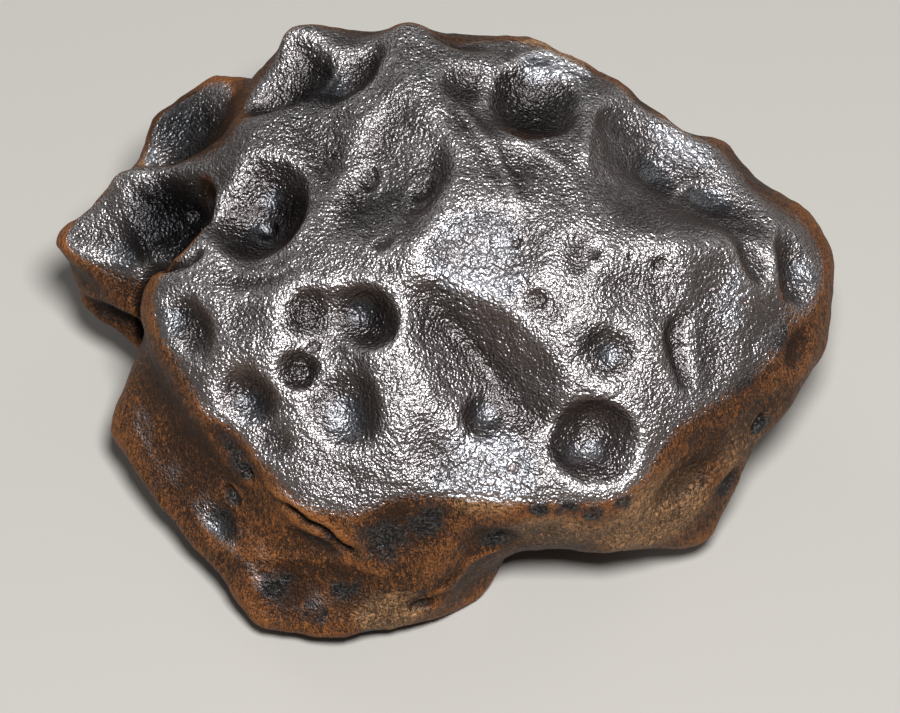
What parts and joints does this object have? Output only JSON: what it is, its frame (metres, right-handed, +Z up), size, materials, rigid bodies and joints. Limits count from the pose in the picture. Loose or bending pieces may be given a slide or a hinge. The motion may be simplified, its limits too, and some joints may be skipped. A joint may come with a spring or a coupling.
{
  "type": "meteorite",
  "caption": "Heavy iron meteorite lump with thumbprint hollows, rounded crests and side knobs, resting on a small flat spot.",
  "frame": {"origin": "on the flat spot's plane, under the middle of the stone's bounding box", "axes": "+X along the stone's longest extent, +Z up from the surface it rests on; -Y is the side that the broad pitted face leans towards"},
  "size_m": [0.1208, 0.0844, 0.0615],
  "materials": {
    "weathered_iron": "glossy dark crust, rust brown in sheltered places"
  },
  "bodies": {
    "root": {"meteorite": "weathered_iron"}
  },
  "joints": []
}
